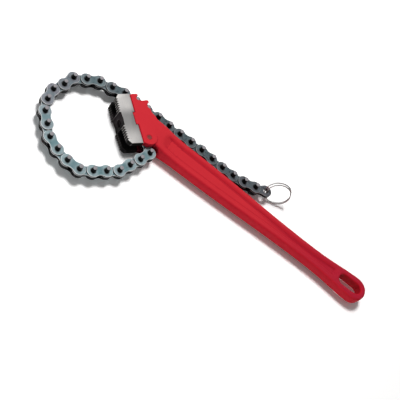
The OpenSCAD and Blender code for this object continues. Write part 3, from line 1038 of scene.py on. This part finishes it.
@dataclass
class Chain:
    """The leaf chain: inner links, outer links and their pins."""

    end_r: float = 7.55 * MM
    end_steps: int = 28
    waist: float = 11.0 * MM
    waist_steps: int = 12
    thick: float = 2.05 * MM
    rim: float = 0.7 * MM
    rim_steps: int = 2
    leaf_gap: float = 0.1 * MM
    side_gap: float = 0.15 * MM
    sharp: float = 40.0
    bends: Span = (120, 330)
    hole_gap: float = 0.04 * MM
    hole_steps: int = 32
    anchor_hole_r: float = 2.96 * MM
    hook_hole_r: float = 2.84 * MM
    hook_link: int = 20
    ring_hole_r: float = 3.0 * MM
    pin_r: float = 2.54 * MM
    pin_half: float = 11.1 * MM
    pin_end: Profile = ((0, 0), (0.45, 0), (0.74, 0.03), (0.9, 0.12), (1, 0.26))
    pin_steps: int = 28
    pin_sharp: float = 50.0
    pin_bright: float = 0.508 * MM
    tones: Sequence[float] = (
        0.7, 0.9, 0.6, 0.95, 0.8, 1.0, 0.7, 0.9, 0.75, 0.95,
        0.5, 0.7, 0.2, 0.05, 0.3, 0.1, 0.5, 0.8, 0.3,
    )
    bright_links: int = 11
    fade_links: int = 9
    steel: ChainSteel = field(default_factory=ChainSteel)
    pin_steel: PinSteel = field(default_factory=PinSteel)

    def pins(self) -> list[Vector]:
        """Centres of the joints by their bodies' names: the chain's pins, then the ring's hole."""
        joints = sorted(frame["joints"], key=lambda joint: joint["child"])
        return [Vector(joint["pos_m"]) for joint in joints]

    def outline(self, pitch: float) -> list[tuple[float, float]]:
        """Outline of a link plate from one pin centre to the next.

        Args:
            pitch: Distance of the pin centres.

        Returns:
            Points round the plate.
        """
        half, waist = pitch / 2, self.waist / 2
        hollow = (half**2 + waist**2 - self.end_r**2) / (2 * (self.end_r - waist))
        centre = waist + hollow
        lean = atan2(centre, half)
        points = []
        for i in range(self.end_steps + 1):
            a = lean - pi + 2 * (pi - lean) * i / self.end_steps
            points.append((pitch + self.end_r * cos(a), self.end_r * sin(a)))
        for i in range(1, self.waist_steps):
            a = -lean + (2 * lean - pi) * i / self.waist_steps
            points.append((half + hollow * cos(a), centre + hollow * sin(a)))
        return points + [(pitch - x, -y) for x, y in points]

    def blank(self, name: str, pitch: float, first_r: float, second_r: float) -> Object:
        """Makes a link plate with round rims and two holes.

        Args:
            name: Name of the blank.
            pitch: Distance of the pin centres.
            first_r: Radius of the hole at the first pin.
            second_r: Radius of the hole at the second pin.

        Returns:
            The blank, whose middle plane is z = 0.
        """
        curve = bpy.data.curves.new(name, "CURVE")
        curve.dimensions = "2D"
        curve.fill_mode = "BOTH"
        curve.extrude = self.thick / 2 - self.rim
        curve.bevel_depth = self.rim
        curve.bevel_resolution = self.rim_steps
        curve.offset = -self.rim
        loops = [self.outline(pitch)]
        turns = [2 * pi * i / self.hole_steps for i in range(self.hole_steps)]
        for x, r in ((0.0, first_r), (pitch, second_r)):
            loops.append([(x + r * cos(t), -r * sin(t)) for t in turns])
        for loop in loops:
            line = curve.splines.new("POLY")
            line.points.add(len(loop) - 1)
            line.points.foreach_set("co", [v for x, y in loop for v in (x, y, 0, 1)])
            line.use_cyclic_u = True
        obj = settle(place_object(name, curve))
        with editing(obj.data) as shape:
            bmesh.ops.remove_doubles(shape, verts=shape.verts, dist=MERGE)
            bmesh.ops.recalc_face_normals(shape, faces=shape.faces)
        shade(obj.data, self.sharp)
        store_edges(obj.data, self.bends)
        scale = (pitch, pitch, self.thick / 2)
        spots = [a / b for v in obj.data.vertices for a, b in zip(v.co, scale)]
        layer = obj.data.attributes.new("spot", "FLOAT_VECTOR", "POINT")
        layer.data.foreach_set("vector", spots)
        return obj

    def pin_blank(self) -> Object:
        """Turns a chain pin with rounded ends that are marked as rubbed.

        Returns:
            The blank, at the origin.
        """
        obj = turned("pin_blank", self.pin_r, self.pin_half, self.pin_end, self.pin_steps)
        shade(obj.data, self.pin_sharp)
        bright = self.pin_half - self.pin_bright
        rubbed = [float(abs(v.co.z) > bright) for v in obj.data.vertices]
        obj.data.attributes.new("edge", "FLOAT", "POINT").data.foreach_set("value", rubbed)
        return obj

    def build(self) -> None:
        """Lays every link of the chain at its place."""
        pins = self.pins()
        pitch = (pins[1] - pins[0]).length
        last = len(pins) - 2
        recipe = PairRecipe()
        steel, pin_steel = self.steel.material(), self.pin_steel.material()
        hole = self.pin_r + self.hole_gap
        plain = self.blank("plain", pitch, hole, hole)
        special = {
            0: self.blank("first", pitch, self.anchor_hole_r, hole),
            self.hook_link: self.blank("hooked", pitch, hole, self.hook_hole_r),
            last: self.blank("last", pitch, hole, self.ring_hole_r),
        }
        pin_blank = self.pin_blank()
        inner = (self.leaf_gap + self.thick) / 2
        outer = inner + self.thick + self.side_gap
        for k in range(last + 1):
            way = pins[k + 1] - pins[k]
            body = f"link_{k:02d}"
            kind, lift = ("outer", outer) if k % 2 else ("inner", inner)
            here = {
                "Place": pins[k],
                "Turn": atan2(way.y, way.x),
                "Tone": self.tones[k % len(self.tones)],
                # Painted shade: links past bright_links grow darker over fade_links.
                "Shade": min(1.0, max(0.0, (k - self.bright_links) / self.fade_links)),
            }
            pair = {"First": (0, 0, -lift), "Step": (0, 0, 2 * lift), "Finish": steel}
            blank = special.get(k, plain)
            plates = recipe.lay(f"{kind}_leaves_{k:02d}", Blank=blank, **pair, **here)
            dress(plates, Slot.CHAIN, body, f"{kind}_plates_{k:02d}")
            if kind == "outer":
                pair = {"First": (0, 0, 0), "Step": (pitch, 0, 0), "Finish": pin_steel}
                turned_pins = recipe.lay(f"link_pins_{k:02d}", Blank=pin_blank, **pair, **here)
                dress(turned_pins, Slot.PIN, body, f"pins_{k:02d}")
        for blank in [plain, *special.values(), pin_blank]:
            bpy.data.objects.remove(blank)


@dataclass
class KeyRing:
    """The split ring on the chain's tail, whose second turn lies a little inside its first."""

    ring_r: float = 16.0 * MM
    wire_r: float = 0.7 * MM
    wire_sides: int = 14
    turn_gap: float = 1.75 * MM
    slack: float = 1.1 * MM
    slack_dir: float = radians(-31)
    ring_dir: float = radians(18)
    lean: float = radians(16)
    lift: float = 0.6 * MM
    steps: int = 96
    sharp: float = 40.0
    wire: WireSteel = field(default_factory=WireSteel)

    def path(self, hole: Vector) -> list[Vector]:
        """Middle line of the wire.

        Args:
            hole: Centre of the hole that the ring passes through.

        Returns:
            Points along two turns.
        """
        high = self.ring_r * cos(self.lean)
        rise = high + self.wire_r + self.lift - hole.z
        along = Vector((cos(self.ring_dir), sin(self.ring_dir), 0))
        tilt = sin(self.lean)
        up = Vector((-along.y * tilt, along.x * tilt, cos(self.lean)))
        across = along.cross(up)

        def way(angle: float) -> Vector:
            """Direction in the ring's plane."""
            return cos(angle) * along + sin(angle) * up

        start = asin(rise / high)
        centre = hole - self.ring_r * way(start + pi)
        off = way(self.slack_dir)
        points = []
        for i in range(2 * self.steps + 1):
            turn = i / self.steps - 1
            share = min(1.0, max(0.0, 0.5 + 2 * turn))
            inner = self.slack * share * share * (3 - 2 * share)
            out = (self.ring_r - inner) * way(start + 2 * pi * i / self.steps)
            shift = (inner - self.slack / 2) * off + self.turn_gap * turn * across
            points.append(centre + out + shift)
        return points

    def build(self, hole: Vector) -> None:
        """Draws round wire along the two turns.

        Args:
            hole: Centre of the hole that the ring passes through.
        """
        points = self.path(hole)
        curve = bpy.data.curves.new("split_ring", "CURVE")
        curve.dimensions = "3D"
        line = curve.splines.new("POLY")
        line.points.add(len(points) - 1)
        line.points.foreach_set("co", [v for p in points for v in (*p, 1)])
        obj = WireRecipe().run(
            place_object("split_ring", curve),
            Radius=self.wire_r,
            Sides=self.wire_sides,
            Finish=self.wire.material(),
        )
        shade(obj.data, self.sharp)
        dress(obj, Slot.WIRE, Body.RING.value, "key_ring")


@dataclass(frozen=True)
class Lamp:
    """A soft square lamp, with its power in watts; only some are mirrored by glossy surfaces."""

    name: str
    power: float
    spot: Point
    size: float
    glossy: bool

    def hang(self, aim: Point) -> None:
        """Hangs the lamp.

        Args:
            aim: Place that it points at.
        """
        data = bpy.data.lights.new(self.name, "AREA")
        data.energy = self.power
        data.size = self.size
        obj = place_object(self.name, data)
        obj.location = self.spot
        obj.rotation_mode = "QUATERNION"
        obj.rotation_quaternion = (Vector(aim) - Vector(self.spot)).to_track_quat("-Z", "Y")
        obj.visible_glossy = self.glossy


@dataclass
class Studio:
    """Floor, lamps, world and the camera at the photograph's angle."""

    eye: Point = (-0.044938, -0.641460, 0.808045)
    right: Point = (0.786181, 0.412346, 0.460316)
    up: Point = (-0.600946, 0.683848, 0.413782)
    back: Point = (-0.144165, -0.601932, 0.785426)
    lens: float = 79.746
    sensor: float = 36.0
    aim: Point = (-0.3, -0.1, 0.0)
    key: Lamp = Lamp("key", 23.3, (-0.25, 0.40, 1.52), 0.42, False)
    fill: Lamp = Lamp("fill", 7.9, (-0.42, -1.75, 0.42), 0.7, True)
    sky: float = 0.16
    shine_span: Span = (0.3, 1.0)
    shine: Span = (0.24, 1.0)
    side_fade: float = 0.8
    floor_half: float = 6.0
    floor: PaleFloor = field(default_factory=PaleFloor)

    def camera(self) -> None:
        """Sets the camera."""
        data = bpy.data.cameras.new("camera")
        data.sensor_width = self.sensor
        data.lens = self.lens
        obj = place_object("camera", data)
        turn = Matrix((self.right, self.up, self.back)).transposed().to_4x4()
        obj.matrix_world = Matrix.Translation(self.eye) @ turn
        bpy.context.scene.camera = obj

    def lay_floor(self) -> None:
        """Lays the floor."""
        mesh = bpy.data.meshes.new("floor")
        corners = ((-1, -1), (1, -1), (1, 1), (-1, 1))
        spots = [(x * self.floor_half, y * self.floor_half, 0) for x, y in corners]
        mesh.from_pydata(spots, [], [(0, 1, 2, 3)])
        mesh.materials.append(self.floor.material())
        place_object("floor", mesh)

    def surroundings(self) -> None:
        """Makes a dim even sky that is white to the camera and graded in glossy surfaces."""
        world = bpy.data.worlds.new("studio")
        world.use_nodes = True
        g = Graph(world.node_tree)
        seen = g.node("ShaderNodeLightPath", output="Is Camera Ray")
        glossy = g.node("ShaderNodeLightPath", output="Is Glossy Ray")
        way = g.node("ShaderNodeTexCoord", output="Generated")
        x, z = [g.node("ShaderNodeSeparateXYZ", inputs={0: way}, output=axis) for axis in "XZ"]
        grade = g.ramp(z - x * self.side_fade, self.shine_span, self.shine)
        strength = self.sky + seen * (1 - self.sky) + glossy * (grade - self.sky)
        glow = g.node("ShaderNodeBackground", inputs={"Color": WHITE, "Strength": strength})
        g.node("ShaderNodeOutputWorld", inputs={"Surface": glow})
        bpy.context.scene.world = world

    def build(self) -> None:
        """Sets floor, light and camera."""
        self.lay_floor()
        self.key.hang(self.aim)
        self.fill.hang(self.aim)
        self.surroundings()
        bpy.context.scene.view_settings.view_transform = "Standard"
        self.camera()


def main() -> None:
    """Builds the sub-assemblies in order and reports each piece."""
    logging.basicConfig(level=logging.INFO, format="%(name)s: %(message)s")
    Studio().build()
    Handle().build()
    Jaw().build()
    chain = Chain()
    chain.build()
    KeyRing().build(chain.pins()[-1])


if __name__ == "__main__":
    main()
